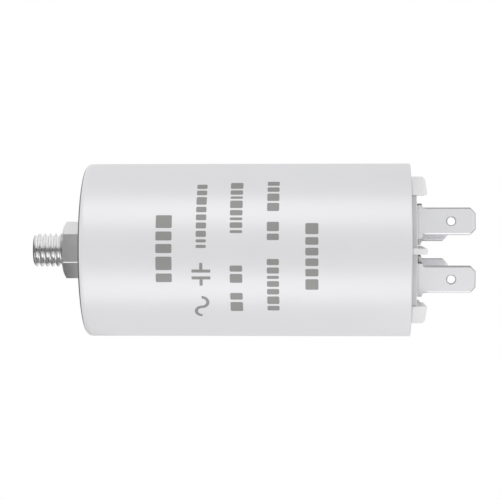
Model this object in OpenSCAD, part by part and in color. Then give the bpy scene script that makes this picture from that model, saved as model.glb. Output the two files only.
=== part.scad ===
// Motor-run film capacitor: a plastic can with a mounting stud and nut at its foot
// and two double push-on terminals on its end cover.
// +Z runs up the can's axis, and the origin is on that axis at the nut's outer face.
// -Y is the front, where the long tabs stand, and X runs across the two terminals.

/* [Case] */
// Outside diameter of the can
case_d = 40; // [38:0.5:48]
// Length of the can from its foot to its rim
case_l = 75; // [68:0.5:100]
// Thickness of the can's wall
case_wall = 1.6; // [1.4:0.1:2]
// Thickness of the can's base
case_base = 3; // [2.5:0.1:4]
// Radius of the rounded edge at the foot
case_edge_r = 1.4; // [0.8:0.1:2]
// Radius of the rim's outer edge
rim_edge_r = 0.3; // [0.1:0.05:0.6]
// Wall of the boss round the stud's head
boss_wall = 2.5; // [2:0.1:4]

/* [Stud and nut] */
// Diameter of the stud over its thread crests
stud_d = 7.8; // [7.6:0.05:8]
// Diameter at which the stud's thread carries the nut
stud_pitch_d = 7.1; // [6.8:0.05:7.3]
// Length of stud that stands free beyond the nut
stud_free = 7; // [6:0.1:20]
// Chamfer at the stud's tip
stud_chamfer = 0.5; // [0.4:0.1:1.2]
// Width across the flats of the stud's head
head_af = 13; // [12:0.1:14]
// Height of the stud's head
head_h = 5; // [4:0.1:6]
// Width across the flats of the nut
nut_af = 11.6; // [11.4:0.1:13.5]
// Thickness of the nut
nut_h = 5.4; // [4:0.1:7]
// Depth that the nut's corners are turned down by
nut_corner_cut = 0.1; // [0.05:0.05:0.4]
// Turn of the nut's front flat about the axis
nut_turn = 5.5; // [0:0.5:30]
// Slope of the chamfer on the nut's corners
nut_slope = 30; // [20:1:40]
// Distance of the nut's round end faces in from its flats
nut_face_in = 0.15; // [0.1:0.05:0.9]

/* [End cover] */
// Thickness of the cover's flange
flange_t = 2.5; // [2:0.1:4]
// Width of the seat in the can's wall that the flange rests on
seat_w = 0.8; // [0.6:0.1:1]
// Diameter of the raised platform
platform_d = 33.6; // [33:0.1:35.4]
// Height of the platform above the can's rim
platform_h = 1.2; // [0.6:0.1:2]
// Radius of the platform's top edge
platform_edge_r = 0.25; // [0.1:0.05:0.5]
// Height of the barrier blocks above the platform, at their inner face
barrier_h = 2.8; // [2:0.1:6]
// Slope of the barrier blocks' top, which falls outwards
barrier_slope = 9; // [0:1:12]
// Distance that the barrier blocks stand out past the platform's edge
barrier_proud = 0.2; // [0.1:0.1:0.6]
// Distance of the barrier blocks' flat inner face from the axis
barrier_x = 12.6; // [11.6:0.1:13.5]
// Chamfer on the top edges of the barrier blocks
barrier_chamfer = 0.6; // [0.2:0.1:0.8]
// Width of the low step at the foot of one barrier block
step_w = 0.6; // [0.4:0.1:1]
// Height of that step above the platform
step_h = 1.1; // [0.5:0.1:1.6]
// Width of the centre rib
rib_w = 1.4; // [1:0.1:2]
// Height of the centre rib above the platform
rib_h = 2.3; // [1.5:0.1:6]
// Radius on the top edges of the centre rib
rib_edge_r = 0.45; // [0.2:0.05:0.48]
// Distance that the rib stands out past the platform's edge
rib_proud = 0.3; // [0.2:0.1:0.7]

/* [Terminals] */
// Distance of each terminal's rivet from the can's axis
terminal_x = 5.9; // [5.6:0.1:6.6]
// Turn of each terminal about its rivet
terminal_turn = 10.5; // [0:0.5:11]
// Thickness of the sheet
sheet_t = 0.8; // [0.7:0.05:0.9]
// Width of the folded strip at its shoulders
strip_w = 8.2; // [7.6:0.1:8.6]
// Height of the shoulders above the platform
shoulder_h = 1.3; // [1.2:0.1:2]
// Length over which the shoulders narrow to the tabs
shoulder_fall = 0.4; // [0.3:0.1:1]
// Inner radius of the folds
fold_r = 0.2; // [0.2:0.05:0.5]
// Width of the tabs
tab_w = 6.4; // [6:0.1:6.5]
// Distance between the outer faces of the front and rear tabs
tab_spread = 9; // [8.6:0.1:10]
// Height of the front tab's tip above the platform
front_tab_h = 13.7; // [12:0.1:16]
// Height of the rear tab's tip above the platform
rear_tab_h = 7.7; // [7.2:0.1:11]
// Chamfer at the corners of each tip
tip_chamfer = 1.3; // [0.8:0.1:1.6]
// Width of the bevel along the tabs' edges
edge_bevel_w = 0.4; // [0.1:0.05:0.6]
// Depth of that bevel on each face
edge_bevel_d = 0.32; // [0.1:0.02:0.34]
// Length over which the tabs thin at the tip
tip_bevel_l = 0.7; // [0.4:0.05:0.9]
// Depth of that thinning on each face
tip_bevel_d = 0.25; // [0.1:0.05:0.3]
// Diameter of the detent hole
hole_d = 1.9; // [1.6:0.05:2.1]
// Widening of the hole at the sheet's faces
hole_flare = 0.2; // [0.1:0.05:0.3]
// Distance of the front tab's hole from its tip
front_hole_drop = 5.6; // [5:0.1:6.5]
// Distance of the rear tab's hole from its tip
rear_hole_drop = 3.7; // [3.5:0.1:4.2]

/* [Rivets and lugs] */
// Diameter of the rivet's shank
rivet_d = 3.2; // [2.8:0.1:3.6]
// Diameter of the rivet's head
rivet_head_d = 5.4; // [5:0.1:5.8]
// Height of the rivet's head
rivet_head_h = 0.9; // [0.7:0.1:1.2]
// Diameter of the rivet's closed foot under the lug
rivet_foot_d = 5; // [4.6:0.1:5.6]
// Height of that foot
rivet_foot_h = 0.8; // [0.6:0.1:1]
// Diameter of the lug's ring
lug_d = 7.6; // [7:0.1:8.4]
// Thickness of the lug
lug_t = 0.6; // [0.5:0.05:0.8]
// Width of the lug's tail
lug_tail_w = 3; // [2.4:0.1:3.6]
// Reach of the lug's tail from the rivet
lug_reach = 7.5; // [7:0.1:8.5]

/* [Winding] */
// Outside diameter of the core tube
core_d = 8; // [7:0.1:10]
// Bore of the core tube
core_bore = 5.5; // [4:0.1:6]
// Resin between the winding and the can's wall
resin_gap = 1.9; // [1.7:0.1:2.5]
// Resin under the winding, above the boss
resin_foot = 4; // [3:0.1:6]
// Resin above the winding
resin_cap = 2; // [1.5:0.1:3]
// Clear space between the resin and the end cover
head_room = 7.5; // [7:0.1:12]
// Thickness of the sprayed end contacts
spray_t = 1; // [0.6:0.1:1.5]
// Diameter of the lead wires
wire_d = 1.2; // [1:0.05:1.4]
// Bend radius of the lead wires
wire_bend_r = 1.5; // [1.4:0.05:1.8]

/* [Hidden] */
$fn = 96;

// Clearance between pieces that are pushed together
fit = 0.1;
// Clearance between the nut's thread and the stud's
thread_fit = 0.05;
// Overrun of a cut past the face that it opens
over = 1;
// Depth to which a moulded wall is rooted in what carries it
root = 0.5;

// Heights along the axis
foot_z = nut_h;
floor_z = foot_z + case_base;
boss_z = floor_z + head_h;
rim_z = foot_z + case_l;
seat_z = rim_z - flange_t;
platform_z = rim_z + platform_h;
barrier_z = platform_z + barrier_h;
winding_foot_z = boss_z + resin_foot;
resin_z = seat_z - head_room;
winding_top_z = resin_z - resin_cap;
lug_z = seat_z - lug_t;

// Radii from the axis
case_r = case_d / 2;
bore_r = case_r - case_wall;
seat_r = bore_r + seat_w;
winding_r = bore_r - resin_gap;
platform_r = platform_d / 2;
barrier_r = platform_r + barrier_proud;
boss_r = head_af / sqrt(3) + boss_wall;

// Route of the long lead
wire_run_x = bore_r - resin_gap / 2;
wire_end_x = wire_run_x - 2 * wire_bend_r;
wire_cross_z = (resin_z + lug_z) / 2;
lug_tail_x = terminal_x + lug_reach - lug_tail_w / 2;

// Folds and shoulders of the terminals
fold_outer_r = fold_r + sheet_t;
shoulder_top = shoulder_h + shoulder_fall;

// A hexagonal bar on the axis, given across its flats
module hexagon(across_flats, height) {
    cylinder(d = across_flats * 2 / sqrt(3), h = height, $fn = 6);
}

// Moves its children to the rivet of the terminal on one side, -1 or 1
module at_rivet(side) {
    translate([side * terminal_x, 0, 0])
        children();
}

// Outline of a wall with rounded top edges
module round_topped(width, height, radius) {
    square([width, height - radius]);
    translate([radius, 0])
        square([width - 2 * radius, height]);
    for (x = [radius, width - radius])
        translate([x, height - radius])
            circle(r = radius);
}

// The can: a turned outline with a boss for the stud's head and a seat for the cover
module case() {
    color("whitesmoke")
    difference() {
        union() {
            difference() {
                rotate_extrude()
                    translate([0, foot_z])
                        can_outline();
                translate([0, 0, floor_z])
                    cylinder(r = bore_r, h = case_l);
            }
            translate([0, 0, floor_z])
                cylinder(r = boss_r, h = head_h);
        }
        translate([0, 0, seat_z])
            cylinder(r = seat_r, h = flange_t + over);
        translate([0, 0, floor_z])
            hexagon(head_af + fit, head_h + over);
        translate([0, 0, foot_z - over])
            cylinder(d = stud_d + fit, h = case_base + 2 * over);
    }
}

// Half section of the can's outside, rounded at the foot and the rim
module can_outline() {
    square([case_r - case_edge_r, case_l]);
    translate([0, case_edge_r])
        square([case_r, case_l - case_edge_r - rim_edge_r]);
    translate([0, case_edge_r])
        square([case_r - rim_edge_r, case_l - case_edge_r]);
    translate([case_r - case_edge_r, case_edge_r])
        circle(r = case_edge_r);
    translate([case_r - rim_edge_r, case_l - rim_edge_r])
        circle(r = rim_edge_r);
}

// The cover: flange, platform, two barrier blocks and the rib between the terminals
module end_cover() {
    color("gainsboro")
    difference() {
        union() {
            rotate_extrude()
                cover_outline();
            for (side = [0, 180])
                rotate(side)
                    barrier();
            barrier_step();
            centre_rib();
        }
        for (side = [-1, 1])
            at_rivet(side)
                translate([0, 0, seat_z - over])
                    cylinder(d = rivet_d + fit, h = flange_t + platform_h + 2 * over);
    }
}

// Half section of the cover's flange and platform
module cover_outline() {
    translate([0, seat_z])
        square([seat_r - fit, flange_t]);
    translate([0, seat_z])
        square([platform_r, flange_t + platform_h - platform_edge_r]);
    translate([0, seat_z])
        square([platform_r - platform_edge_r, flange_t + platform_h]);
    translate([platform_r - platform_edge_r, platform_z - platform_edge_r])
        circle(r = platform_edge_r);
}

// A block on one side of the flange: a segment of a round, flat on its inner face, with its root sunk in the flange
module barrier() {
    intersection() {
        rotate_extrude()
            barrier_outline();
        rotate([90, 0, 0])
            linear_extrude(2 * barrier_r, center = true)
                polygon([
                    [barrier_x, rim_z - root], [barrier_x, barrier_z - barrier_chamfer],
                    [barrier_x + barrier_chamfer, barrier_z],
                    [barrier_r + over, barrier_z], [barrier_r + over, rim_z - root]
                ]);
    }
}

// Half section of the round that the blocks are cut from, whose top falls outwards to a chamfered edge
module barrier_outline() {
    edge_r = barrier_r - barrier_chamfer;
    axis_z = barrier_z + barrier_x * tan(barrier_slope);
    edge_z = axis_z - edge_r * tan(barrier_slope);
    polygon([
        [0, rim_z - root], [0, axis_z], [edge_r, edge_z],
        [barrier_r, edge_z - barrier_chamfer], [barrier_r, rim_z - root]
    ]);
}

// The low step along the inner foot of one barrier block
module barrier_step() {
    step_l = 2 * sqrt(pow(barrier_r, 2) - pow(barrier_x, 2)) - 2 * root;
    translate([barrier_x - step_w, -step_l / 2, platform_z - root])
        cube([step_w + root, step_l, root + step_h]);
}

// The rib between the terminals, which runs out over the platform's edge to the flange
module centre_rib() {
    rib_l = platform_d + 2 * rib_proud;
    translate([-rib_w / 2, rib_l / 2, rim_z - root])
        rotate([90, 0, 0])
            linear_extrude(rib_l)
                round_topped(rib_w, root + platform_h + rib_h, rib_edge_r);
}

// A terminal: one strip folded into a U, with a tab on each leg
module terminal(side) {
    color("silver")
    at_rivet(side)
        translate([0, 0, platform_z])
            rotate(side * terminal_turn)
                difference() {
                    union() {
                        folded_strip();
                        tab(front_tab_h, front_hole_drop);
                        rotate(180)
                            tab(rear_tab_h, rear_hole_drop);
                    }
                    translate([0, 0, -over])
                        cylinder(d = rivet_d + fit, h = sheet_t + 2 * over);
                }
}

// The strip's base and its two folds, up to the shoulders that slope in to the tabs
module folded_strip() {
    intersection() {
        rotate([90, 0, 90])
            linear_extrude(strip_w, center = true)
                fold_outline();
        rotate([90, 0, 0])
            linear_extrude(tab_spread + 2 * over, center = true)
                polygon([
                    [-strip_w / 2, 0], [strip_w / 2, 0],
                    [strip_w / 2, shoulder_h], [tab_w / 2, shoulder_top],
                    [-tab_w / 2, shoulder_top], [-strip_w / 2, shoulder_h]
                ]);
    }
}

// Side view of the strip: a flat base with a rounded fold and a leg at each end
module fold_outline() {
    corner_y = tab_spread / 2 - fold_outer_r;
    translate([-corner_y, 0])
        square([2 * corner_y, sheet_t]);
    for (end = [0, 1])
        mirror([end, 0])
            translate([corner_y, fold_outer_r]) {
                intersection() {
                    difference() {
                        circle(r = fold_outer_r);
                        circle(r = fold_r);
                    }
                    translate([0, -fold_outer_r])
                        square(fold_outer_r);
                }
                translate([fold_r, 0])
                    square([sheet_t, shoulder_top - fold_outer_r]);
            }
}

// A tab on the front leg: bevelled edges, a chamfered and thinned tip, and a detent hole
module tab(height, hole_drop) {
    hole_z = height - hole_drop;
    translate([0, (sheet_t - tab_spread) / 2, 0])
        difference() {
            intersection() {
                translate([0, 0, fold_outer_r])
                    linear_extrude(height - fold_outer_r)
                        tab_section();
                rotate([90, 0, 0])
                    linear_extrude(2 * sheet_t, center = true)
                        tab_front(height);
                rotate([90, 0, 90])
                    linear_extrude(2 * tab_w, center = true)
                        tab_side(height);
            }
            translate([0, 0, hole_z])
                rotate([90, 0, 0])
                    detent_hole();
        }
}

// Cross-section of a tab, with a bevel along all four edges
module tab_section() {
    half_w = tab_w / 2;
    half_t = sheet_t / 2;
    polygon([
        [-half_w, -half_t + edge_bevel_d], [-half_w + edge_bevel_w, -half_t],
        [half_w - edge_bevel_w, -half_t], [half_w, -half_t + edge_bevel_d],
        [half_w, half_t - edge_bevel_d], [half_w - edge_bevel_w, half_t],
        [-half_w + edge_bevel_w, half_t], [-half_w, half_t - edge_bevel_d]
    ]);
}

// Front view of a tab, with its corners cut off at the tip
module tab_front(height) {
    half_w = tab_w / 2;
    polygon([
        [-half_w, 0], [half_w, 0],
        [half_w, height - tip_chamfer], [half_w - tip_chamfer, height],
        [-half_w + tip_chamfer, height], [-half_w, height - tip_chamfer]
    ]);
}

// Side view of a tab, thinned at the tip
module tab_side(height) {
    half_t = sheet_t / 2;
    polygon([
        [-half_t, 0], [half_t, 0],
        [half_t, height - tip_bevel_l], [half_t - tip_bevel_d, height],
        [-half_t + tip_bevel_d, height], [-half_t, height - tip_bevel_l]
    ]);
}

// A hole through the sheet that flares at both faces
module detent_hole() {
    cylinder(d = hole_d, h = 2 * sheet_t, center = true);
    for (face = [0, 180])
        rotate([face, 0, 0])
            translate([0, 0, sheet_t / 2 - hole_flare])
                cylinder(r1 = hole_d / 2, r2 = hole_d / 2 + 2 * hole_flare, h = 2 * hole_flare);
}

// A rivet: domed head on the strip, shank through the cover, closed foot under the lug
module rivet(side) {
    head_z = platform_z + sheet_t;
    color("lightgray")
    at_rivet(side)
        union() {
            translate([0, 0, head_z])
                rotate_extrude()
                    rivet_head_outline();
            translate([0, 0, lug_z])
                cylinder(d = rivet_d, h = head_z - lug_z);
            translate([0, 0, lug_z - rivet_foot_h])
                cylinder(d = rivet_foot_d, h = rivet_foot_h);
        }
}

// Half section of the rivet's head, a flat dome
module rivet_head_outline() {
    head_r = rivet_head_d / 2;
    dome_r = (head_r * head_r + rivet_head_h * rivet_head_h) / (2 * rivet_head_h);
    intersection() {
        square([head_r, rivet_head_h]);
        translate([0, rivet_head_h - dome_r])
            circle(r = dome_r);
    }
}

// A lug: a ring under the cover with a tail that a lead is soldered to
module solder_lug(side, tail_turn) {
    color("goldenrod")
    at_rivet(side)
        translate([0, 0, lug_z])
            rotate(tail_turn)
                difference() {
                    union() {
                        cylinder(d = lug_d, h = lug_t);
                        translate([0, -lug_tail_w / 2, 0])
                            cube([lug_reach - lug_tail_w / 2, lug_tail_w, lug_t]);
                        translate([lug_reach - lug_tail_w / 2, 0, 0])
                            cylinder(d = lug_tail_w, h = lug_t);
                    }
                    translate([0, 0, -over])
                        cylinder(d = rivet_d + fit, h = lug_t + 2 * over);
                }
}

// A straight length of lead that rises from the point given
module wire_rise(x, y, z, length) {
    translate([x, y, z])
        cylinder(d = wire_d, h = length);
}

// A quarter or half bend of lead in the XZ plane, about the point given
module wire_bend(x, z, start, angle) {
    translate([x, 0, z])
        rotate([90, 0, 0])
            rotate(start)
                rotate_extrude(angle = angle)
                    translate([wire_bend_r, 0])
                        circle(d = wire_d);
}

// The short lead, from the top contact to its lug
module lead_wire_a() {
    color("firebrick")
        wire_rise(-terminal_x, lug_reach - lug_tail_w / 2, winding_top_z, lug_z - winding_top_z);
}

// The long lead, from the bottom contact up beside the winding and in to its lug
module lead_wire_b() {
    color("royalblue")
        long_lead();
}

module long_lead() {
    loop_z = winding_foot_z - wire_d;
    turn_z = wire_cross_z - wire_bend_r;
    rise_z = wire_cross_z + wire_bend_r;
    wire_rise(wire_end_x, 0, loop_z, winding_foot_z - loop_z);
    wire_bend(wire_end_x + wire_bend_r, loop_z, 180, 180);
    wire_rise(wire_run_x, 0, loop_z, turn_z - loop_z);
    wire_bend(wire_run_x - wire_bend_r, turn_z, 0, 90);
    translate([lug_tail_x + wire_bend_r, 0, wire_cross_z])
        rotate([0, 90, 0])
            cylinder(d = wire_d, h = wire_run_x - lug_tail_x - 2 * wire_bend_r);
    wire_bend(lug_tail_x + wire_bend_r, rise_z, 180, 90);
    wire_rise(lug_tail_x, 0, rise_z, lug_z - rise_z);
}

// A ring of the winding's stack, between its core and the radius given
module stack_ring(inner_d, outer_r, z, height) {
    translate([0, 0, z])
        difference() {
            cylinder(r = outer_r, h = height);
            translate([0, 0, -over])
                cylinder(d = inner_d, h = height + 2 * over);
        }
}

module film_winding() {
    color("lightsteelblue")
        stack_ring(core_d, winding_r, winding_foot_z + spray_t,
            winding_top_z - winding_foot_z - 2 * spray_t);
}

module winding_core() {
    color("ivory")
        stack_ring(core_bore, core_d / 2, winding_foot_z, winding_top_z - winding_foot_z);
}

module end_spray_top() {
    color("darkgray")
        stack_ring(core_d, winding_r, winding_top_z - spray_t, spray_t);
}

module end_spray_bottom() {
    color("darkgray")
        stack_ring(core_d, winding_r, winding_foot_z, spray_t);
}

// Resin poured round the boss, the winding and the leads, and up the core's bore
module potting_resin() {
    color("dimgray")
    difference() {
        translate([0, 0, floor_z])
            cylinder(r = bore_r, h = resin_z - floor_z);
        translate([0, 0, floor_z - over])
            cylinder(r = boss_r, h = head_h + over);
        stack_ring(core_bore, winding_r, winding_foot_z, winding_top_z - winding_foot_z);
        lead_wire_a();
        long_lead();
    }
}

// The stud: head in the boss, shank through the base, thread through and past the nut
module stud() {
    color("silver")
    union() {
        rotate_extrude()
            stud_outline();
        translate([0, 0, floor_z])
            hexagon(head_af, head_h);
    }
}

// Half section of the stud below its head
module stud_outline() {
    crest_r = stud_d / 2;
    polygon([
        [0, -stud_free], [crest_r - stud_chamfer, -stud_free],
        [crest_r, stud_chamfer - stud_free], [crest_r, 0],
        [stud_pitch_d / 2, 0], [stud_pitch_d / 2, foot_z],
        [crest_r, foot_z], [crest_r, floor_z], [0, floor_z]
    ]);
}

// The nut: a hexagonal bar turned down at the corners and countersunk at its bore
module hex_nut() {
    color("silver")
    difference() {
        intersection() {
            rotate(-nut_turn)
                hexagon(nut_af, nut_h);
            rotate_extrude()
                nut_outline();
        }
        rotate_extrude()
            nut_bore_outline();
    }
}

// Half section of the turning on the nut's corners
module nut_outline() {
    corner_r = nut_af / sqrt(3) - nut_corner_cut;
    face_r = nut_af / 2 - nut_face_in;
    turned_h = (corner_r - face_r) * tan(nut_slope);
    polygon([
        [0, 0], [face_r, 0], [corner_r, turned_h],
        [corner_r, nut_h - turned_h], [face_r, nut_h], [0, nut_h]
    ]);
}

// Half section of the nut's bore, opened to the thread's crests at both faces
module nut_bore_outline() {
    bore = stud_pitch_d / 2 + thread_fit;
    mouth = stud_d / 2 + thread_fit;
    depth = mouth - bore;
    polygon([
        [0, -over], [mouth, -over], [mouth, 0], [bore, depth],
        [bore, nut_h - depth], [mouth, nut_h], [mouth, nut_h + over], [0, nut_h + over]
    ]);
}

case();
end_cover();
terminal(-1);  // terminal_a
terminal(1);  // terminal_b
rivet(-1);  // rivet_a
rivet(1);  // rivet_b
solder_lug(-1, 90);  // solder_lug_a
solder_lug(1, 0);  // solder_lug_b
lead_wire_a();
lead_wire_b();
film_winding();
winding_core();
end_spray_top();
end_spray_bottom();
potting_resin();
stud();
hex_nut();
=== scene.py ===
"""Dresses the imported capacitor: finishes, threaded stud, chamfered nut, printed marks and studio."""
import math

import bmesh
import bpy
from mathutils import Matrix, Vector


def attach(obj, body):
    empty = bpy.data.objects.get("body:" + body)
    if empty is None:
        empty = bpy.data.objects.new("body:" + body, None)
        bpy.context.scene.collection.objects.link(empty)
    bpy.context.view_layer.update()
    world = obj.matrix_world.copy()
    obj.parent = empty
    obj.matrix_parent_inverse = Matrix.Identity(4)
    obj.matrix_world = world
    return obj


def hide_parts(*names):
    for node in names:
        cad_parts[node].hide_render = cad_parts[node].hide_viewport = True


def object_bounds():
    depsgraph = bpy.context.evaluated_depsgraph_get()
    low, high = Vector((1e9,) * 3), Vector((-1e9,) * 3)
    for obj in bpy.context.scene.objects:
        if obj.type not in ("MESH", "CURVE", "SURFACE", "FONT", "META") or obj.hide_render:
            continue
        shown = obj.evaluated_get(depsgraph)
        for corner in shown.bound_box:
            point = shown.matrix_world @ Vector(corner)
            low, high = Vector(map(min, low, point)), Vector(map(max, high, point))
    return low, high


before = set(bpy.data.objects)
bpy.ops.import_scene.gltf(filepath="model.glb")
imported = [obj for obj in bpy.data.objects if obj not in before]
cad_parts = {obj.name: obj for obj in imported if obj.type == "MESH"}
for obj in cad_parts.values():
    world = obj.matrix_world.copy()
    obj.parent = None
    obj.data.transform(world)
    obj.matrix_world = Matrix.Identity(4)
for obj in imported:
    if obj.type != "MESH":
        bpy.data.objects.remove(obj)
cad_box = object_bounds()

MM = 0.001
MERGE_MM = 0.001
HEX_SIDES = 6
HEX_TURN = math.radians(30)
UPRIGHT = math.radians(90)
WHITE = (1, 1, 1, 1)

# Camera, with its place and lens as the photograph's perspective gives them
IMAGE_PX = 500
FOCAL_PX = 2066
SENSOR_MM = 36
CLIP_NEAR = 10 * MM
CLIP_FAR = 10000 * MM
CAMERA_DISTANCE = 480 * MM
CAMERA_HEIGHT = 65.5 * MM
CAMERA_TURN = math.radians(1.2)
CAMERA_AIM = Vector((0.02, 0, 43.3)) * MM

# Softboxes on both sides of the camera
SOFTBOX_TURN = math.radians(51)
SOFTBOX_DISTANCE = 600 * MM
SOFTBOX_WIDTH = 400 * MM
SOFTBOX_LENGTH = 900 * MM
LEFT_POWER = 3.4
RIGHT_POWER = 2.8

# Room: its level on matt surfaces and in mirrors, and how far it dips in mirrors round the camera.
# The dip starts and ends at these cosines from the front.
ROOM_LEVEL = 0.955
MIRROR_LEVEL = 0.78
CAMERA_DIP = 0.48
DIP_SPAN = (0.94, 0.99)

# Floor, and the distances from the part's axis over which its shadow fades to white
FLOOR_HEIGHT = -30 * MM
FLOOR_REACH = 2000 * MM
FLOOR_COLOUR = (0.9, 0.9, 0.9, 1)
SHADOW_REACH_MM = (45, 85)

# Cards that stand round the two ends and are seen in reflections only: the left, right, near and far sides,
# the foot and the top in millimetres, and how bright the card is
CARDS = {
    "nut_bright_card": (-61, -60, -95, 130, -140, -4, 0.98),
    "nut_dark_card": (60, 61, -30, 130, -14, -4, 0.02),
    "stud_low_card": (60, 61, -28, 130, -45, -14, 0.28),
    "stud_side_card": (60, 61, -78, -28, -45, -4, 1.45),
    "stud_front_card": (-17, 17, -61, -60, -60, -9, 0.03),
    "stud_floor_card": (-6, 14, -16, 16, -13, -12, 0.12),
    "tab_dark_card": (-101, -100, -150, 60, 82.5, 140, 0.3),
    "tab_bright_card": (100, 101, -150, 60, 82.5, 140, 1.4),
}

# Length of the case, and heights of its foot, its rim and the cover's platform, in millimetres
CASE_FOOT = 5.4
CASE_LENGTH = 75
CASE_RIM = CASE_FOOT + CASE_LENGTH
PLATFORM_TOP = CASE_RIM + 1.2

# Stud, with the lengths of its solid. The thread is cut a hair above the tip, clear of the corners of the
# helix, so that the cut closes.
CREST_R = 3.9 * MM
PITCH_R = 3.55 * MM
PITCH = 1.25 * MM
THREAD_DEPTH = 0.767 * MM
CREST_FLAT = 0.156 * MM
FLANK_SLOPE = math.tan(math.radians(30))
FLANK_RISE = THREAD_DEPTH * FLANK_SLOPE
OUTLINE_CUTS = 3
STUD_TIP = -7.0 * MM
TIP_CUT = STUD_TIP + 0.005 * MM
STUD_CHAMFER = 0.5 * MM
THREAD_TOP = 0.3 * MM
NECK_FOOT = THREAD_TOP / 2
SHANK_FOOT = CASE_FOOT * MM
HEAD_FOOT = SHANK_FOOT + 3 * MM
HEAD_TOP = HEAD_FOOT + 5 * MM
HEAD_FLATS = 13 * MM
TURN_STEPS = 64

# Nut, with the flats and height of its solid, eased corners and ends turned to a flat cone. A face whose
# normal's cosine to the axis is over END_COSINE is an end of the bar.
NUT_FLATS = 11.6 * MM
NUT_H = CASE_FOOT * MM
NUT_TURN = math.radians(5.5)
NUT_CORNER = 0.16 * MM
NUT_FACE_R = NUT_FLATS / 2 - 0.2 * MM
NUT_SLOPE = math.tan(math.radians(25))
NUT_SIDE_CUTS = 9
NUT_BORE_R = 3.6 * MM
NUT_MOUTH_R = 3.95 * MM
END_COSINE = 0.99

# Painted shade, in millimetres: a dark line round the case's foot, the wall round the platform's foot, a
# dark line at the rim, and the shaded sides of the rib and of the low step
FOOT_SHADE_TOP = CASE_FOOT + 0.4
FOOT_SHADE_R = 18.8
PLATFORM_SHADE_TOP = PLATFORM_TOP - 0.1
PLATFORM_SHADE_R = 16.9
PLATFORM_SHADE_SHARE = 0.72
RIM_SHADE_TOP = CASE_RIM + 0.25
RIM_SHADE_R = 17.15
RIB_FOOT = PLATFORM_TOP + 0.1
RIB_SHADED_SIDE = (-0.8, -0.6)
STEP_SHADED_SIDE = (11.9, 12.5)
LINE_BLUR = 0.06

# Terminals, with the places of their solids, and the painted shade along their edges,
# in millimetres
TERMINAL_X = 5.9
TERMINAL_TURN = math.radians(10.5)
SHOULDER_TOP = PLATFORM_TOP + 1.7
STRIP_W = 8.2
TAB_W = 6.4
EDGE_SHADE_WIDTH = 0.2
TAB_EDGE_SHADE_SHARE = 0.55
LONG_TIP = PLATFORM_TOP + 13.7
TIP_CORNER = 1.3
HOLE_HEIGHT = LONG_TIP - 5.6
HOLE_R = 0.95
HOLE_SHADE_WIDTH = 0.22
HOLE_SHADE_SHARE = 0.5
SHOULDER_SHADE_WIDTH = 0.4
STREAK_SHARE = 0.6

# Can, and the ink printed on it, in millimetres. The ink is cut in strips so that it bends round the can.
CAN_R = 20
INK_RISE = 0.02
INK_ROOT = 0.03
INK_FACET = 1.0
FACET_SHIFT = 0.37

# Printed marks: rows of plain rounded blocks round the front of the can, in millimetres.
# A run of blocks has its middle's height over the case's foot, its blocks' height, its start along the arc,
# the length of its unit, and each block's width in units. Two common signs stand beside the second row.
BLOCK_RUNS = (
    (19.45, 3.6, -8.4, 1.01, (3, 2, 2, 3, 2)),
    (27.8, 2.3, -17.0, 0.69, (2, 2, 3, 2, 2, 2, 2, 1, 1)),
    (35.65, 2.8, -17.6, 0.65, (3, 2, 1, 3, 2, 1, 2, 1)),
    (35.65, 2.8, 3.1, 0.69, (2, 3)),
    (35.65, 2.8, 9.65, 0.88, (2, 3)),
    (43.9, 2.7, -18.0, 0.69, (2, 2, 3, 3)),
    (43.9, 2.7, -6.8, 0.72, (3, 2)),
    (43.9, 2.7, 1.6, 0.69, (2, 2, 1, 2, 2, 3, 2)),
    (52.6, 2.9, -6.5, 0.85, (3, 2, 2, 2, 2, 3)),
)
BLOCK_GAP = 0.8
BLOCK_CORNER = 0.3
CORNER_STEPS = 4
SIGN_MIDDLE = 27.8
SIGN_STROKE = 0.7
SIGN_CORNER = SIGN_STROKE / 6
PLATES_LEFT = 2.5
PLATES_WIDTH = 5.3
PLATES_HEIGHT = 4.2
PLATES_GAP = 0.9
WAVE_LEFT = 10.8
WAVE_R = 1.35
WAVE_STEPS = 14


class Field:
    """An output socket in a node tree; sums and products of fields add Math nodes to that tree."""

    def __init__(self, board, socket):
        self.board = board
        self.socket = socket

    def __add__(self, other):
        return self.board.math("ADD", self, other)

    def __radd__(self, other):
        return self.board.math("ADD", other, self)

    def __sub__(self, other):
        return self.board.math("SUBTRACT", self, other)

    def __rsub__(self, other):
        return self.board.math("SUBTRACT", other, self)

    def __mul__(self, other):
        return self.board.math("MULTIPLY", self, other)

    def __rmul__(self, other):
        return self.board.math("MULTIPLY", other, self)


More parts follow.
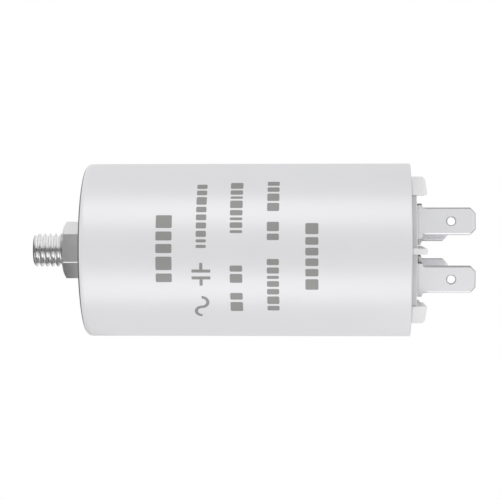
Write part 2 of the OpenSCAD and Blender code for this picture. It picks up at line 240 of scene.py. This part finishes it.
class Board:
    """A node tree to wire a finish or a light on."""

    def __init__(self, tree):
        self.tree = tree

    def add(self, kind, settings=None, inputs=None):
        """Adds a node, sets it up and feeds its sockets."""
        made = self.tree.nodes.new(kind)
        for name, value in (settings or {}).items():
            setattr(made, name, value)
        for name, value in (inputs or {}).items():
            self.feed(made.inputs[name], value)
        return made

    def node(self, kind, settings=None, inputs=None, output=0):
        """Adds a node and hands back one of its outputs as a field."""
        return Field(self, self.add(kind, settings, inputs).outputs[output])

    def feed(self, socket, value):
        """Links a field to a socket, or sets the socket's own value."""
        if isinstance(value, Field):
            self.tree.links.new(value.socket, socket)
        else:
            socket.default_value = value

    def show(self, shader):
        """Makes a shader the surface of the material."""
        self.add("ShaderNodeOutputMaterial", inputs={"Surface": shader})

    def math(self, operation, first, second=0.0):
        return self.node("ShaderNodeMath", {"operation": operation}, {0: first, 1: second})

    def parts(self, vector):
        """The three parts of a vector, each as a field."""
        return [self.node("ShaderNodeSeparateXYZ", inputs={0: vector}, output=part) for part in "XYZ"]

    def place(self, stretch=(1, 1, 1)):
        """Object coordinates in millimetres, times the stretch given along each axis."""
        scale = [part / MM for part in stretch]
        spot = self.node("ShaderNodeTexCoord", output="Object")
        return self.node("ShaderNodeMapping", inputs={"Vector": spot, "Scale": scale})

    def grain(self, size_mm, stretch=(1, 1, 1), detail=2.0):
        """Noise from 0 to 1 whose patches are about the size given."""
        return self.node(
            "ShaderNodeTexNoise",
            inputs={"Vector": self.place(stretch), "Scale": 1 / size_mm, "Detail": detail},
        )

    def axis_distance(self):
        """Distance from the part's axis in millimetres."""
        flat = self.place(stretch=(1, 1, 0))
        return self.node("ShaderNodeVectorMath", {"operation": "LENGTH"}, {0: flat}, output="Value")

    def ramp_up(self, value, low, high):
        """Rises smoothly from 0 to 1 while the value goes from low to high."""
        return self.node(
            "ShaderNodeMapRange",
            {"interpolation_type": "SMOOTHSTEP"},
            {"Value": value, "From Min": low, "From Max": high},
        )

    def over(self, value, limit):
        """1 where the value is over the limit, 0 under it, with a narrow blur between."""
        return self.ramp_up(value, limit - LINE_BLUR, limit + LINE_BLUR)

    def tint(self, share, first, second):
        """Mixes two colours by a field; each is a plain colour or a field."""
        colours = [part if isinstance(part, Field) else (*part, 1) for part in (first, second)]
        # A Mix node of colours has its factor at 0, its colours at 6 and 7, and its result at 2
        return self.node(
            "ShaderNodeMix",
            {"data_type": "RGBA"},
            {0: share, 6: colours[0], 7: colours[1]},
            output=2,
        )


class Finish(Board):
    """A material with one shader; constants go on the shader's own sockets."""

    def __init__(self, name, **constants):
        self.material = bpy.data.materials.new(name)
        self.material.use_nodes = True
        super().__init__(self.material.node_tree)
        self.shader = self.tree.nodes["Principled BSDF"]
        for socket, value in constants.items():
            self.set(socket, value)

    def set(self, socket, value):
        self.feed(self.shader.inputs[socket.replace("_", " ")], value)

    def paint(self, colour, shade_mask=None, shade_colour=None):
        """Sets the colour of the surface, with painted shade over it where a mask is given."""
        if shade_mask:
            colour = self.tint(shade_mask(self), colour, shade_colour)
        self.set("Base_Color", colour)

    def roughen(self, field, middle, spread):
        """Lets a field, from 0 to 1, spread the roughness about its middle."""
        self.set("Roughness", middle + spread * (field - 0.5))

    def relief(self, height, depth_mm):
        """Raises the surface by a field, from 0 to 1, times the depth given."""
        bump = self.node("ShaderNodeBump", inputs={"Distance": depth_mm * MM, "Height": height})
        self.set("Normal", bump)


# Painted shade

def foot_painted_shade(finish):
    """Painted shade: a thin dark line round the foot of the case, on the end of its rounded edge."""
    height = finish.parts(finish.place())[2]
    return (1 - finish.over(height, FOOT_SHADE_TOP)) * finish.over(finish.axis_distance(), FOOT_SHADE_R)


def platform_painted_shade(finish):
    """Painted shade: the grey wall round the platform's foot, one side of the rib and of the low step, and
    a dark line along the rim.
    """
    across, _, height = finish.parts(finish.place())
    out = finish.axis_distance()
    wall = (1 - finish.over(height, PLATFORM_SHADE_TOP)) * (1 - finish.over(out, PLATFORM_SHADE_R))
    rib = finish.over(across, RIB_SHADED_SIDE[0]) * (1 - finish.over(across, RIB_SHADED_SIDE[1]))
    step = finish.over(across, STEP_SHADED_SIDE[0]) * (1 - finish.over(across, STEP_SHADED_SIDE[1]))
    grey = wall + (rib + step) * finish.over(height, RIB_FOOT)
    # Painted shade: a dark line at the rim, where the cover meets the can
    rim_line_shade = (1 - finish.over(height, RIM_SHADE_TOP)) * (1 - finish.over(out, RIM_SHADE_R))
    return finish.math("MAXIMUM", PLATFORM_SHADE_SHARE * grey, rim_line_shade)


def painted_edge_shade(finish):
    """Painted shade: darker rims along the tabs' edges and tips, round the long tabs' holes on their front
    faces, and on one side of the shoulders.
    """
    across, depth, height = finish.parts(finish.place())
    from_rivet = finish.math("ABSOLUTE", across) - TERMINAL_X
    aside = from_rivet * math.cos(TERMINAL_TURN) + depth * math.sin(TERMINAL_TURN)
    reach = finish.math("ABSOLUTE", aside)
    tab_rim = finish.over(reach, TAB_W / 2 - EDGE_SHADE_WIDTH) * finish.over(height, SHOULDER_TOP)
    corner_rim = finish.over(reach + height, LONG_TIP + TAB_W / 2 - TIP_CORNER - EDGE_SHADE_WIDTH * math.sqrt(2))
    edge_rim = finish.math("MAXIMUM", tab_rim, corner_rim)
    tip_rim = finish.math("MAXIMUM", edge_rim, finish.over(height, LONG_TIP - EDGE_SHADE_WIDTH))
    # Painted shade on one side of each shoulder only, the side in shade
    shaded_side = 0 - aside * finish.math("SIGN", across)
    shoulder_rim = finish.over(shaded_side, STRIP_W / 2 - SHOULDER_SHADE_WIDTH)
    from_hole = height - HOLE_HEIGHT
    hole_reach = finish.math("SQRT", aside * aside + from_hole * from_hole)
    # Painted shade round the holes, on the front faces only
    hole_rim = (1 - finish.over(hole_reach, HOLE_R + HOLE_SHADE_WIDTH)) * (1 - finish.over(depth, 0))
    return TAB_EDGE_SHADE_SHARE * tip_rim + shoulder_rim + HOLE_SHADE_SHARE * hole_rim


# Finishes

def moulded_plastic(name, pale, dark, roughness, ior, shade_mask=None, shade_colour=None):
    """Satin moulded plastic: faint cloudiness, fine spark-eroded grain, and painted shade where a mask is
    given.
    """
    finish = Finish(name, IOR=ior)
    cloud = finish.grain(size_mm=9, detail=3.0)
    fine = finish.grain(size_mm=0.22)
    finish.paint(finish.tint(cloud, dark, pale), shade_mask, shade_colour)
    finish.roughen(cloud, middle=roughness, spread=0.08)
    finish.relief(fine, depth_mm=0.004)
    return finish.material


def rolled_sheet(name, pale, dark, roughness, metallic, shade_mask=None, shade_colour=None):
    """Plated strip: streaks along the rolling direction, fine scratches, and painted shade where a mask is
    given.
    """
    finish = Finish(name, Metallic=metallic)
    streak = finish.grain(size_mm=0.25, stretch=(1, 1, 0.03), detail=3.0)
    cloud = finish.grain(size_mm=2.5)
    plating = finish.tint(STREAK_SHARE * streak + (1 - STREAK_SHARE) * cloud, dark, pale)
    finish.paint(plating, shade_mask, shade_colour)
    finish.roughen(streak, middle=roughness, spread=0.16)
    finish.relief(streak, depth_mm=0.003)
    return finish.material


def turned_metal(name, pale, dark, roughness):
    """Plated turned metal: rings left by the tool and a mottled plating."""
    finish = Finish(name, Metallic=1.0)
    ring = finish.grain(size_mm=0.2, stretch=(0.05, 0.05, 1), detail=3.0)
    mottle = finish.grain(size_mm=1.2, detail=3.0)
    finish.paint(finish.tint(mottle, dark, pale))
    finish.roughen(mottle, middle=roughness, spread=0.1)
    finish.relief(ring, depth_mm=0.002)
    return finish.material


def sprayed_metal(name, pale, dark):
    """Sprayed metal: rough grains all over."""
    finish = Finish(name, Metallic=1.0)
    grain = finish.grain(size_mm=0.3, detail=4.0)
    finish.paint(finish.tint(grain, dark, pale))
    finish.roughen(grain, middle=0.7, spread=0.3)
    finish.relief(grain, depth_mm=0.08)
    return finish.material


def wound_film(name, pale, dark):
    """Wrapped film: glossy, with the edges of the turns as fine bands round the roll."""
    finish = Finish(name, Metallic=0.6)
    band = finish.grain(size_mm=0.6, stretch=(0.02, 0.02, 1))
    finish.paint(finish.tint(band, dark, pale))
    finish.roughen(band, middle=0.275, spread=0.15)
    finish.relief(band, depth_mm=0.01)
    return finish.material


def cast_resin(name, pale, dark):
    """Poured resin: cloudy and glossy."""
    finish = Finish(name)
    cloud = finish.grain(size_mm=4, detail=4.0)
    finish.paint(finish.tint(cloud, dark, pale))
    finish.roughen(cloud, middle=0.32, spread=0.2)
    finish.relief(cloud, depth_mm=0.05)
    return finish.material


def wire_cover(name, pale, dark):
    """Insulation drawn over a wire: slight streaks along it."""
    finish = Finish(name)
    streak = finish.grain(size_mm=0.3, stretch=(1, 1, 0.1))
    finish.paint(finish.tint(streak, dark, pale))
    finish.roughen(streak, middle=0.4, spread=0.1)
    finish.relief(streak, depth_mm=0.004)
    return finish.material


def printing_ink(name, pale, dark):
    """Pad-printed ink: matt, a little uneven where the pad let go."""
    finish = Finish(name)
    speck = finish.grain(size_mm=0.35, detail=3.0)
    finish.paint(finish.tint(speck, dark, pale))
    finish.roughen(speck, middle=0.525, spread=0.15)
    finish.relief(speck, depth_mm=0.003)
    return finish.material


CASE_FINISH = moulded_plastic(
    "satin_white_case",
    pale=(0.74, 0.74, 0.755),
    dark=(0.72, 0.72, 0.735),
    roughness=0.36,
    ior=1.6,
    # painted shade: a dark line round the case's foot
    shade_mask=foot_painted_shade,
    shade_colour=(0.1, 0.1, 0.1),
)
COVER_FINISH = moulded_plastic(
    "satin_white_cover",
    pale=(0.83, 0.83, 0.83),
    dark=(0.8, 0.8, 0.8),
    roughness=0.45,
    ior=1.5,
    # painted shade on the platform's wall, the sides of the rib and step, and the rim
    shade_mask=platform_painted_shade,
    shade_colour=(0.43, 0.43, 0.43),
)
CORE_FINISH = moulded_plastic(
    "core_tube_plastic", pale=(0.8, 0.78, 0.7), dark=(0.74, 0.72, 0.64), roughness=0.5, ior=1.5
)
TAB_FINISH = rolled_sheet(
    "tinned_sheet",
    pale=(0.885, 0.885, 0.905),
    dark=(0.845, 0.845, 0.865),
    roughness=0.2,
    metallic=0.6,
    # painted shade along the tabs' edges, round their holes and on the shoulders
    shade_mask=painted_edge_shade,
    shade_colour=(0.22, 0.22, 0.22),
)
LUG_FINISH = rolled_sheet(
    "bare_brass_sheet", pale=(0.76, 0.6, 0.31), dark=(0.62, 0.47, 0.22), roughness=0.35, metallic=1.0
)
RIVET_FINISH = turned_metal(
    "tinned_rivet", pale=(0.72, 0.72, 0.73), dark=(0.6, 0.6, 0.61), roughness=0.35
)
STUD_FINISH = turned_metal(
    "bright_zinc_plate", pale=(0.91, 0.91, 0.91), dark=(0.84, 0.84, 0.84), roughness=0.24
)
NUT_FINISH = turned_metal(
    "dull_zinc_plate", pale=(0.76, 0.76, 0.76), dark=(0.69, 0.69, 0.69), roughness=0.3
)
SPRAY_FINISH = sprayed_metal("sprayed_zinc_grain", pale=(0.56, 0.56, 0.57), dark=(0.36, 0.36, 0.37))
FILM_FINISH = wound_film("metallised_film_roll", pale=(0.66, 0.68, 0.72), dark=(0.52, 0.54, 0.58))
RESIN_FINISH = cast_resin("dark_resin", pale=(0.15, 0.15, 0.16), dark=(0.09, 0.09, 0.1))
RED_WIRE_FINISH = wire_cover("red_insulation", pale=(0.58, 0.09, 0.07), dark=(0.5, 0.07, 0.05))
BLUE_WIRE_FINISH = wire_cover("blue_insulation", pale=(0.09, 0.18, 0.54), dark=(0.07, 0.14, 0.46))
INK_FINISH = printing_ink("grey_ink", pale=(0.27, 0.27, 0.265), dark=(0.23, 0.23, 0.225))

NODE_FINISHES = {
    "case": CASE_FINISH,
    "end_cover": COVER_FINISH,
    "terminal_a": TAB_FINISH,
    "terminal_b": TAB_FINISH,
    "rivet_a": RIVET_FINISH,
    "rivet_b": RIVET_FINISH,
    "solder_lug_a": LUG_FINISH,
    "solder_lug_b": LUG_FINISH,
    "lead_wire_a": RED_WIRE_FINISH,
    "lead_wire_b": BLUE_WIRE_FINISH,
    "film_winding": FILM_FINISH,
    "winding_core": CORE_FINISH,
    "end_spray_top": SPRAY_FINISH,
    "end_spray_bottom": SPRAY_FINISH,
    "potting_resin": RESIN_FINISH,
    "stud": STUD_FINISH,
    "hex_nut": NUT_FINISH,
}


def dress_nodes():
    """Gives every solid of the frame its finish."""
    for name, material in NODE_FINISHES.items():
        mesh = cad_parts[name].data
        mesh.materials.clear()
        mesh.materials.append(material)


# Making of new pieces

def placed_object(name, bm):
    """Makes an object of a bmesh, frees the bmesh and puts the object in the scene."""
    mesh = bpy.data.meshes.new(name)
    bm.to_mesh(mesh)
    bm.free()
    made = bpy.data.objects.new(name, mesh)
    bpy.context.scene.collection.objects.link(made)
    return made


def finished_piece(name, bm, material, sharp_degrees):
    """Makes a piece of a bmesh, smooth except along its sharp edges, that rides on the part."""
    bmesh.ops.recalc_face_normals(bm, faces=bm.faces)
    piece = placed_object(name, bm)
    piece.data.shade_smooth()
    piece.data.set_sharp_from_angle(angle=math.radians(sharp_degrees))
    piece.data.materials.append(material)
    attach(piece, "root")
    return piece


def add_copy(bm, other):
    """Adds another bmesh's shapes to a bmesh, and frees the other one."""
    carrier = bpy.data.meshes.new("carrier")
    other.to_mesh(carrier)
    other.free()
    bm.from_mesh(carrier)
    bpy.data.meshes.remove(carrier)


def round_bar(bm, radius, foot, top, sides):
    """A closed bar on the axis between two heights."""
    bmesh.ops.create_cone(
        bm,
        cap_ends=True,
        segments=sides,
        radius1=radius,
        radius2=radius,
        depth=top - foot,
        matrix=Matrix.Translation((0, 0, (foot + top) / 2)),
    )


def hexagon_bar(bm, flats, foot, top, turn):
    """A closed hexagonal bar on the axis, turned round it, in a bmesh of its own."""
    round_bar(bm, flats / math.sqrt(3), foot, top, HEX_SIDES)
    bmesh.ops.rotate(bm, verts=bm.verts, matrix=Matrix.Rotation(turn, 3, "Z"))


def draw_outline(bm, outline):
    """Draws an open outline, given as radii and heights, and hands back its corners and its edges."""
    corners = [bm.verts.new((radius, 0, height)) for radius, height in outline]
    edges = [bm.edges.new(pair) for pair in zip(corners, corners[1:])]
    return corners, edges


def cut_flat(bm, height, keep_above):
    """Cuts the mesh level at a height, drops one side and closes the cut."""
    whole = bm.verts[:] + bm.edges[:] + bm.faces[:]
    outward = (0, 0, -1) if keep_above else (0, 0, 1)
    cut = bmesh.ops.bisect_plane(
        bm, geom=whole, plane_co=(0, 0, height), plane_no=outward, clear_outer=True
    )
    rim = [edge for edge in cut["geom_cut"] if isinstance(edge, bmesh.types.BMEdge)]
    bmesh.ops.edgeloop_fill(bm, edges=rim)


def thread_reach(height):
    """Radius that the thread may have at a height: coned at the tip and where it enters the nut."""
    at_tip = CREST_R - STUD_CHAMFER + (height - STUD_TIP)
    in_nut = CREST_R - max(height, 0)
    return min(at_tip, in_nut, CREST_R)


def cut_thread(bm):
    """Sweeps one pitch of the thread's outline up a helix, cuts it to length and cones its ends."""
    root_r = CREST_R - THREAD_DEPTH
    foot = STUD_TIP - PITCH
    outline = [
        (root_r, foot),
        (CREST_R, foot + FLANK_RISE),
        (CREST_R, foot + FLANK_RISE + CREST_FLAT),
        (root_r, foot + 2 * FLANK_RISE + CREST_FLAT),
        (root_r, foot + PITCH),
    ]
    _, edges = draw_outline(bm, outline)
    bmesh.ops.subdivide_edges(bm, edges=edges, cuts=OUTLINE_CUTS)
    turns = math.ceil((THREAD_TOP - foot) / PITCH) + 1
    bmesh.ops.spin(
        bm,
        geom=bm.verts[:] + bm.edges[:],
        axis=(0, 0, 1),
        cent=(0, 0, 0),
        dvec=(0, 0, PITCH / TURN_STEPS),
        angle=turns * math.tau,
        steps=turns * TURN_STEPS,
    )
    bmesh.ops.remove_doubles(bm, verts=bm.verts, dist=MERGE_MM * MM)
    cut_flat(bm, TIP_CUT, keep_above=True)
    cut_flat(bm, THREAD_TOP, keep_above=False)
    for vert in bm.verts:
        radius = math.hypot(vert.co.x, vert.co.y)
        slim = min(1, thread_reach(vert.co.z) / radius)
        vert.co.x *= slim
        vert.co.y *= slim


def make_stud():
    """The stud: its real thread past the nut, its neck in the nut, and its shank and head in the case."""
    bm = bmesh.new()
    cut_thread(bm)
    round_bar(bm, PITCH_R, NECK_FOOT, SHANK_FOOT, TURN_STEPS)
    round_bar(bm, CREST_R, SHANK_FOOT, HEAD_FOOT, TURN_STEPS)
    head = bmesh.new()
    hexagon_bar(head, HEAD_FLATS, HEAD_FOOT, HEAD_TOP, HEX_TURN)
    add_copy(bm, head)
    piece = finished_piece("threaded_stud", bm, STUD_FINISH, sharp_degrees=35)
    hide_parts("stud")


def end_edges(bm):
    """The edges that lie level at either end of the nut."""
    ends = []
    for height in (0, NUT_H):
        for edge in bm.edges:
            if all(abs(vert.co.z - height) < MERGE_MM * MM for vert in edge.verts):
                ends.append(edge)
    return ends


def turn_nut_sides(bm):
    """The nut's outside: a hexagonal bar with eased corners and open ends, each turned to a cone."""
    hexagon_bar(bm, NUT_FLATS, 0, NUT_H, HEX_TURN - NUT_TURN)
    ends = end_edges(bm)
    corners = [edge for edge in bm.edges if edge not in ends]
    bmesh.ops.bevel(
        bm, geom=corners, offset=NUT_CORNER, affect="EDGES", segments=1, profile=0.5, material=-1
    )
    caps = [face for face in bm.faces if abs(face.normal.z) > END_COSINE]
    bmesh.ops.delete(bm, geom=caps, context="FACES_ONLY")
    flat_ends = [edge for edge in end_edges(bm) if edge.calc_length() > NUT_FLATS / 4]
    bmesh.ops.subdivide_edges(bm, edges=flat_ends, cuts=NUT_SIDE_CUTS)
    for vert in bm.verts:
        turned = (vert.co.xy.length - NUT_FACE_R) * NUT_SLOPE
        vert.co.z += turned if vert.co.z < NUT_H / 2 else -turned


def spin_nut_bore(bm):
    """The nut's two faces and its countersunk bore, spun from their outline."""
    sink = NUT_MOUTH_R - NUT_BORE_R
    lower_half = [(NUT_FACE_R, 0), (NUT_MOUTH_R, 0), (NUT_BORE_R, sink)]
    upper_half = [(radius, NUT_H - height) for radius, height in reversed(lower_half)]
    corners, edges = draw_outline(bm, lower_half + upper_half)
    bmesh.ops.spin(
        bm,
        geom=corners + edges,
        axis=(0, 0, 1),
        cent=(0, 0, 0),
        angle=math.tau,
        steps=TURN_STEPS,
        use_merge=True,
    )


def make_nut():
    """The nut: its outside and its bore, joined by the cones at both ends."""
    bm = bmesh.new()
    turn_nut_sides(bm)
    spin_nut_bore(bm)
    open_edges = [edge for edge in bm.edges if edge.is_boundary]
    for outer_end in (True, False):
        rims = [edge for edge in open_edges if (edge.verts[0].co.z < NUT_H / 2) == outer_end]
        bmesh.ops.bridge_loops(bm, edges=rims)
    piece = finished_piece("chamfered_nut", bm, NUT_FINISH, sharp_degrees=20)
    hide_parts("hex_nut")


def lay_block(bm, left, foot, right, top, corner):
    """A flat block of ink with rounded corners, from a grid of one cell, whose size is half its side."""
    spot = Matrix.Translation(((left + right) / 2, (foot + top) / 2, 0))
    size = Matrix.Diagonal((right - left, top - foot, 1, 1))
    made = bmesh.ops.create_grid(bm, x_segments=1, y_segments=1, size=0.5, matrix=spot @ size)
    bmesh.ops.bevel(
        bm,
        geom=made["verts"],
        offset=corner,
        affect="VERTICES",
        segments=CORNER_STEPS,
        profile=0.5,
        material=-1,
    )


def lay_plates(bm):
    """The sign of a capacitor: two plates side by side, each with its lead."""
    middle = PLATES_LEFT + PLATES_WIDTH / 2
    foot = SIGN_MIDDLE - PLATES_HEIGHT / 2
    top = SIGN_MIDDLE + PLATES_HEIGHT / 2
    near = middle - PLATES_GAP / 2
    far = middle + PLATES_GAP / 2
    lay_block(bm, near - SIGN_STROKE, foot, near, top, SIGN_CORNER)
    lay_block(bm, far, foot, far + SIGN_STROKE, top, SIGN_CORNER)
    lead_foot = SIGN_MIDDLE - SIGN_STROKE / 2
    lead_top = SIGN_MIDDLE + SIGN_STROKE / 2
    lay_block(bm, PLATES_LEFT, lead_foot, near - SIGN_STROKE, lead_top, SIGN_CORNER)
    lay_block(bm, far + SIGN_STROKE, lead_foot, PLATES_LEFT + PLATES_WIDTH, lead_top, SIGN_CORNER)


def lay_wave(bm):
    """The sign of alternating current: a wave of two half rings, one turned each way."""
    for radii_along, way in ((1, -1), (3, 1)):
        middle = WAVE_LEFT + radii_along * WAVE_R
        inner = bm.verts.new((middle - WAVE_R + SIGN_STROKE / 2, SIGN_MIDDLE, 0))
        outer = bm.verts.new((middle - WAVE_R - SIGN_STROKE / 2, SIGN_MIDDLE, 0))
        edge = bm.edges.new((inner, outer))
        bmesh.ops.spin(
            bm,
            geom=[inner, outer, edge],
            axis=(0, 0, way),
            cent=(middle, SIGN_MIDDLE, 0),
            angle=math.pi,
            steps=WAVE_STEPS,
        )
    bmesh.ops.remove_doubles(bm, verts=bm.verts, dist=MERGE_MM)


def wrap_ink(bm):
    """Cuts flat ink in strips, none along a block's edge, thickens it and bends it round the can."""
    reach = max(abs(vert.co.x) for vert in bm.verts)
    strips = math.ceil(reach / INK_FACET)
    for strip in range(-strips, strips + 1):
        whole = bm.verts[:] + bm.edges[:] + bm.faces[:]
        spot = (strip + FACET_SHIFT) * INK_FACET
        bmesh.ops.bisect_plane(bm, geom=whole, plane_co=(spot, 0, 0), plane_no=(1, 0, 0))
    raised = bmesh.ops.extrude_face_region(bm, geom=bm.faces[:])["geom"]
    tops = [part for part in raised if isinstance(part, bmesh.types.BMVert)]
    bmesh.ops.translate(bm, verts=tops, vec=(0, 0, INK_ROOT + INK_RISE))
    for vert in bm.verts:
        turn = vert.co.x / CAN_R
        radius = CAN_R - INK_ROOT + vert.co.z
        spot = Vector((radius * math.sin(turn), -radius * math.cos(turn), CASE_FOOT + vert.co.y))
        vert.co = spot * MM


def print_marks():
    """All the blocks and signs, as one layer of ink."""
    bm = bmesh.new()
    for middle, height, start, unit, widths in BLOCK_RUNS:
        left = start
        for width in widths:
            right = left + width * unit
            lay_block(bm, left, middle - height / 2, right, middle + height / 2, BLOCK_CORNER)
            left = right + BLOCK_GAP * unit
    lay_plates(bm)
    lay_wave(bm)
    wrap_ink(bm)
    piece = finished_piece("printed_marks", bm, INK_FINISH, sharp_degrees=30)
    return piece


# Camera and studio

def set_camera():
    """Stands the camera where the photograph was taken, rolled so that the can lies on its side."""
    lens = bpy.data.cameras.new("camera")
    lens.sensor_width = SENSOR_MM
    lens.lens = SENSOR_MM * FOCAL_PX / IMAGE_PX
    lens.clip_start = CLIP_NEAR
    lens.clip_end = CLIP_FAR
    camera = bpy.data.objects.new("camera", lens)
    spot = Vector((-math.sin(CAMERA_TURN), -math.cos(CAMERA_TURN), 0)) * CAMERA_DISTANCE
    spot.z = CAMERA_HEIGHT
    back = (spot - CAMERA_AIM).normalized()
    right = Vector((0, 0, 1))
    right = (right - right.dot(back) * back).normalized()
    up = back.cross(right)
    turn = Matrix((right, up, back)).transposed().to_4x4()
    camera.matrix_world = Matrix.Translation(spot) @ turn
    bpy.context.scene.collection.objects.link(camera)
    bpy.context.scene.camera = camera


def light_room():
    """A white room for the camera, even on matt surfaces, and darker round the camera in mirrors."""
    world = bpy.data.worlds.new("room")
    world.use_nodes = True
    world.cycles.sampling_method = "NONE"
    bpy.context.scene.world = world
    board = Board(world.node_tree)
    seen = board.node("ShaderNodeLightPath", output="Is Camera Ray")
    glossy = board.node("ShaderNodeLightPath", output="Is Glossy Ray")
    through = board.node("ShaderNodeLightPath", output="Is Transmission Ray")
    heading = board.node("ShaderNodeTexCoord", output="Generated")
    to_front = 0 - board.parts(heading)[1]
    in_mirrors = MIRROR_LEVEL - CAMERA_DIP * board.ramp_up(to_front, *DIP_SPAN)
    unseen = ROOM_LEVEL + (glossy + through) * (in_mirrors - ROOM_LEVEL)
    backdrop = world.node_tree.nodes["Background"]
    backdrop.inputs["Color"].default_value = WHITE
    board.feed(backdrop.inputs["Strength"], seen + (1 - seen) * unseen)


def bare_board(mesh, name):
    """Gives a mesh a material that has no nodes yet, and hands back its board."""
    material = bpy.data.materials.new(name)
    material.use_nodes = True
    material.node_tree.nodes.clear()
    mesh.materials.append(material)
    return Board(material.node_tree)


def lay_floor():
    """A pale floor that keeps the part's shadow, is white farther out and blocks no light itself."""
    bm = bmesh.new()
    bmesh.ops.create_grid(bm, x_segments=1, y_segments=1, size=FLOOR_REACH)
    bmesh.ops.translate(bm, verts=bm.verts, vec=(0, 0, FLOOR_HEIGHT))
    floor = placed_object("floor", bm)
    floor.visible_diffuse = False
    floor.visible_glossy = False
    floor.visible_shadow = False
    board = bare_board(floor.data, "pale_floor")
    seen = board.node("ShaderNodeLightPath", output="Is Camera Ray")
    below = board.node("ShaderNodeNewGeometry", output="Backfacing")
    far = board.ramp_up(board.axis_distance(), *SHADOW_REACH_MM)
    matt = board.node("ShaderNodeBsdfDiffuse", inputs={"Color": FLOOR_COLOUR})
    white = board.node("ShaderNodeEmission", inputs={"Color": WHITE, "Strength": 1.0})
    clear = board.node("ShaderNodeBsdfTransparent")
    from_above = board.node("ShaderNodeMixShader", inputs={0: far * seen, 1: matt, 2: white})
    board.show(board.node("ShaderNodeMixShader", inputs={0: below, 1: from_above, 2: clear}))


def plastic_pieces(ink):
    """The moulded pieces and the ink, which the softboxes light; the bare metal has its cards."""
    group = bpy.data.collections.new("plastic_pieces")
    for piece in (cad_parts["case"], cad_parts["end_cover"], ink):
        group.objects.link(piece)
    return group


def hang_softbox(name, side, power, lit_pieces):
    """A long upright light that faces the can from beside the camera and glosses the pieces given."""
    light = bpy.data.lights.new(name, "AREA")
    light.shape = "RECTANGLE"
    light.size = SOFTBOX_WIDTH
    light.size_y = SOFTBOX_LENGTH
    light.energy = power
    lamp = bpy.data.objects.new(name, light)
    turn = side * SOFTBOX_TURN - CAMERA_TURN
    lamp.location = (
        SOFTBOX_DISTANCE * math.sin(turn),
        -SOFTBOX_DISTANCE * math.cos(turn),
        (cad_box[0].z + cad_box[1].z) / 2,
    )
    lamp.rotation_euler = (UPRIGHT, 0, turn)
    lamp.visible_camera = False
    lamp.visible_diffuse = False
    lamp.light_linking.receiver_collection = lit_pieces
    bpy.context.scene.collection.objects.link(lamp)


def hang_card(name, left, right, near, far, foot, top, level):
    """A glowing card near one end of the part, seen in reflections only."""
    bm = bmesh.new()
    middle = Matrix.Translation(((left + right) / 2, (near + far) / 2, (foot + top) / 2))
    size = Matrix.Diagonal((right - left, far - near, top - foot, 1))
    bmesh.ops.create_cube(bm, size=1, matrix=Matrix.Scale(MM, 4) @ middle @ size)
    card = placed_object(name, bm)
    card.visible_camera = False
    card.visible_diffuse = False
    card.visible_shadow = False
    board = bare_board(card.data, name)
    board.show(board.node("ShaderNodeEmission", inputs={"Color": WHITE, "Strength": level}))


dress_nodes()
make_stud()
make_nut()
marks = print_marks()
set_camera()
light_room()
lay_floor()
plastics = plastic_pieces(marks)
hang_softbox("softbox_left", -1, LEFT_POWER, plastics)
hang_softbox("softbox_right", 1, RIGHT_POWER, plastics)
for card_name, card in CARDS.items():
    hang_card(card_name, *card)
bpy.context.scene.view_settings.view_transform = "Standard"
